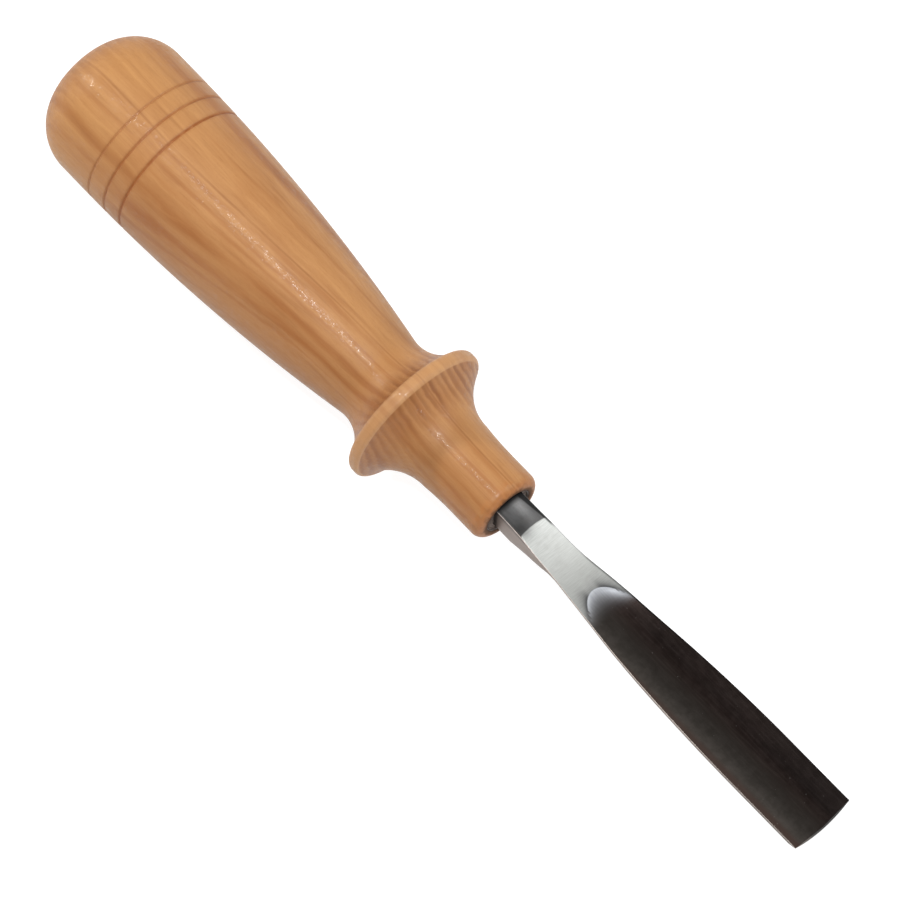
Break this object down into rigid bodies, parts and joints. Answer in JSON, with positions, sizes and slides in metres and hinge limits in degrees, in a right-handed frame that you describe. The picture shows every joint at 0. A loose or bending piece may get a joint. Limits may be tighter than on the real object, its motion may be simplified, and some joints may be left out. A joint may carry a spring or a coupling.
{
  "type": "gouge-bladed lino cutter",
  "caption": "Hand-held relief-printing cutter with a turned wooden handle, a finger collar and a shallow fluted steel blade for clearing lino and soft wood blocks.",
  "frame": {"origin": "on the handle's axis at the middle of the collar's rim", "axes": "+X along the handle's axis towards the cutting edge, +Z out of the open side of the flute, +Y across the blade to the left when looking along +X with the flute up"},
  "size_m": [0.222, 0.0332, 0.0334],
  "materials": {
    "handle_wood": "turned straight-grained hardwood under a satin clear coat",
    "ferrule_steel": "plain turned steel, slightly darkened",
    "blade_steel": "forged tool steel, flute polished, facet ground bright across the blade"
  },
  "bodies": {
    "root": {"handle": "handle_wood", "ferrule": "ferrule_steel", "blade": "blade_steel"}
  },
  "joints": []
}
